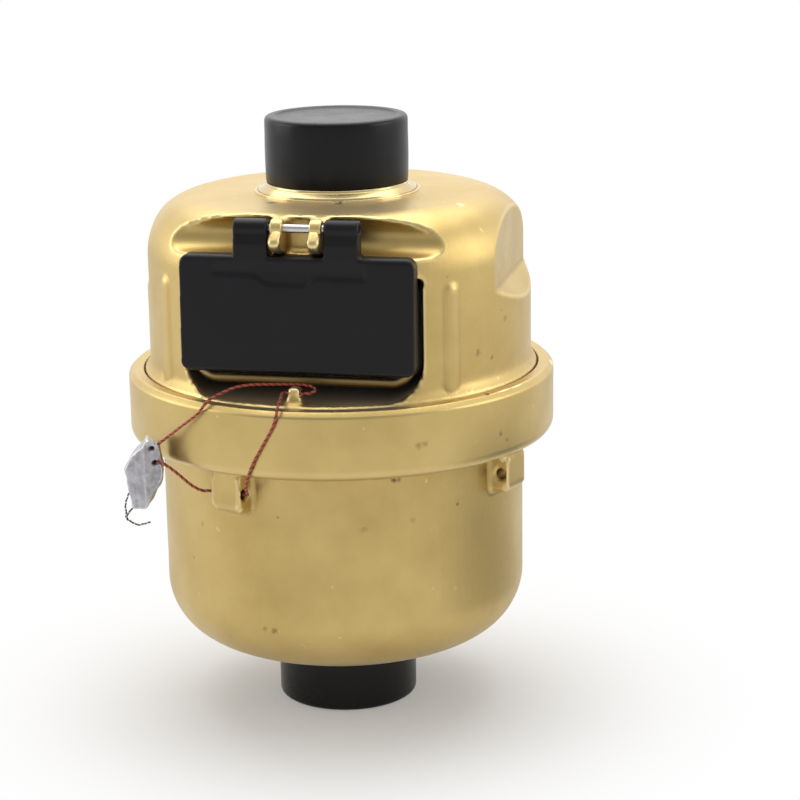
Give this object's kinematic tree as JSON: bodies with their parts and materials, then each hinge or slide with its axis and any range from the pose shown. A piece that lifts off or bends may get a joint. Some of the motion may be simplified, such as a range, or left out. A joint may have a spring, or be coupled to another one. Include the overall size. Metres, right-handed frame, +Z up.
{
  "type": "water meter",
  "caption": "Round brass in-line water meter: cast bodies joined by a clamp ring, a counter behind a hinged lid on its side, threaded ports under dust caps, and a wire seal.",
  "frame": {"origin": "centre of the inlet cap's underside, on the pipe axis", "axes": "+Z up along the pipe axis from inlet to outlet, -Y out of the lid's face, +X to the right of the lid"},
  "size_m": [0.084, 0.085, 0.118],
  "materials": {
    "cast_brass": "shot-blasted casting, satin",
    "turned_brass": "turned and shot-blasted, satin",
    "cap_plastic": "satin moulded",
    "lid_plastic": "satin moulded",
    "steel": "drawn",
    "lead": "dull crushed lead",
    "wire_cover": "twisted red and black cover",
    "seal_rubber": "moulded",
    "white_plastic": "moulded",
    "chamber_plastic": "moulded",
    "graphite_plastic": "graphite filled",
    "magnet": "sintered",
    "copper_can": "deep drawn, browned",
    "window_glass": "clear",
    "dial_paint": "white enamel",
    "gear_plastic": "moulded",
    "roller_red": "moulded",
    "roller_black": "moulded"
  },
  "bodies": {
    "meter": {"lower_body": "cast_brass", "upper_body": "cast_brass", "clamp_ring": "turned_brass", "hinge_pin": "steel", "lead_seal": "lead", "seal_wire": "wire_cover", "body_seal": "seal_rubber", "strainer": "white_plastic", "chamber_body": "chamber_plastic", "chamber_cover": "chamber_plastic", "partition_plate": "steel", "outlet_seal": "seal_rubber", "register_can": "copper_can", "register_window": "window_glass", "register_frame": "white_plastic", "dial_plate": "dial_paint", "roller_shaft": "steel"},
    "lid": {"lid": "lid_plastic"},
    "top_cap": {"top_cap": "cap_plastic"},
    "bottom_cap": {"bottom_cap": "cap_plastic"},
    "drive": {"drive_carrier": "white_plastic", "drive_magnet": "magnet"},
    "piston": {"piston": "graphite_plastic"},
    "spindle": {"input_spindle": "steel", "follower_magnet": "magnet"},
    "cross_shaft": {"cross_shaft": "gear_plastic"},
    "idler_gear": {"idler_gear": "gear_plastic"},
    "roller_1": {"number_roller_1": "roller_red"},
    "roller_2": {"number_roller_2": "roller_red"},
    "roller_3": {"number_roller_3": "roller_red"},
    "roller_4": {"number_roller_4": "roller_black"},
    "roller_5": {"number_roller_5": "roller_black"},
    "roller_6": {"number_roller_6": "roller_black"},
    "roller_7": {"number_roller_7": "roller_black"},
    "roller_8": {"number_roller_8": "roller_black"}
  },
  "joints": [
    {"name": "lid_hinge", "type": "hinge", "parent": "meter", "child": "lid", "pos_m": [0, -0.0314, 0.1012], "axis": [-1, 0, 0], "range_deg": [0, 105]},
    {"name": "top_cap_pull", "type": "slide", "parent": "meter", "child": "top_cap", "axis": [0, 0, 1], "range_m": [0, 0.03]},
    {"name": "bottom_cap_pull", "type": "slide", "parent": "meter", "child": "bottom_cap", "axis": [0, 0, -1], "range_m": [0, 0.03]},
    {"name": "drive_spin", "type": "hinge", "parent": "meter", "child": "drive", "pos_m": [0, 0, 0], "axis": [0, 0, 1], "continuous": true},
    {"name": "piston_swing", "type": "hinge", "parent": "drive", "child": "piston", "pos_m": [0, -0.00385, 0], "axis": [0, 0, 1], "continuous": true},
    {"name": "spindle_spin", "type": "hinge", "parent": "meter", "child": "spindle", "pos_m": [0, 0, 0], "axis": [0, 0, 1], "continuous": true},
    {"name": "cross_spin", "type": "hinge", "parent": "meter", "child": "cross_shaft", "pos_m": [0, -0.0068, 0.082], "axis": [1, 0, 0], "continuous": true},
    {"name": "idler_spin", "type": "hinge", "parent": "meter", "child": "idler_gear", "pos_m": [0, -0.01098, 0.07769], "axis": [1, 0, 0], "continuous": true},
    {"name": "roller_1_spin", "type": "hinge", "parent": "meter", "child": "roller_1", "pos_m": [0, -0.0173, 0.082], "axis": [1, 0, 0], "continuous": true},
    {"name": "roller_2_spin", "type": "hinge", "parent": "meter", "child": "roller_2", "pos_m": [0, -0.0173, 0.082], "axis": [1, 0, 0], "continuous": true},
    {"name": "roller_3_spin", "type": "hinge", "parent": "meter", "child": "roller_3", "pos_m": [0, -0.0173, 0.082], "axis": [1, 0, 0], "continuous": true},
    {"name": "roller_4_spin", "type": "hinge", "parent": "meter", "child": "roller_4", "pos_m": [0, -0.0173, 0.082], "axis": [1, 0, 0], "continuous": true},
    {"name": "roller_5_spin", "type": "hinge", "parent": "meter", "child": "roller_5", "pos_m": [0, -0.0173, 0.082], "axis": [1, 0, 0], "continuous": true},
    {"name": "roller_6_spin", "type": "hinge", "parent": "meter", "child": "roller_6", "pos_m": [0, -0.0173, 0.082], "axis": [1, 0, 0], "continuous": true},
    {"name": "roller_7_spin", "type": "hinge", "parent": "meter", "child": "roller_7", "pos_m": [0, -0.0173, 0.082], "axis": [1, 0, 0], "continuous": true},
    {"name": "roller_8_spin", "type": "hinge", "parent": "meter", "child": "roller_8", "pos_m": [0, -0.0173, 0.082], "axis": [1, 0, 0], "continuous": true}
  ],
  "couplings": [
    {"joint": "piston_swing", "follows": "drive_spin", "ratio": -1},
    {"joint": "spindle_spin", "follows": "drive_spin", "ratio": 1},
    {"joint": "cross_spin", "follows": "drive_spin", "ratio": -0.041667},
    {"joint": "idler_spin", "follows": "drive_spin", "ratio": 0.041667},
    {"joint": "roller_1_spin", "follows": "drive_spin", "ratio": -0.026882},
    {"joint": "roller_2_spin", "follows": "drive_spin", "ratio": -0.0026882},
    {"joint": "roller_3_spin", "follows": "drive_spin", "ratio": -0.00026882},
    {"joint": "roller_4_spin", "follows": "drive_spin", "ratio": -0.000026882},
    {"joint": "roller_5_spin", "follows": "drive_spin", "ratio": -0.0000026882},
    {"joint": "roller_6_spin", "follows": "drive_spin", "ratio": -0.00000026882},
    {"joint": "roller_7_spin", "follows": "drive_spin", "ratio": -0.000000026882},
    {"joint": "roller_8_spin", "follows": "drive_spin", "ratio": -0.000000002688}
  ]
}
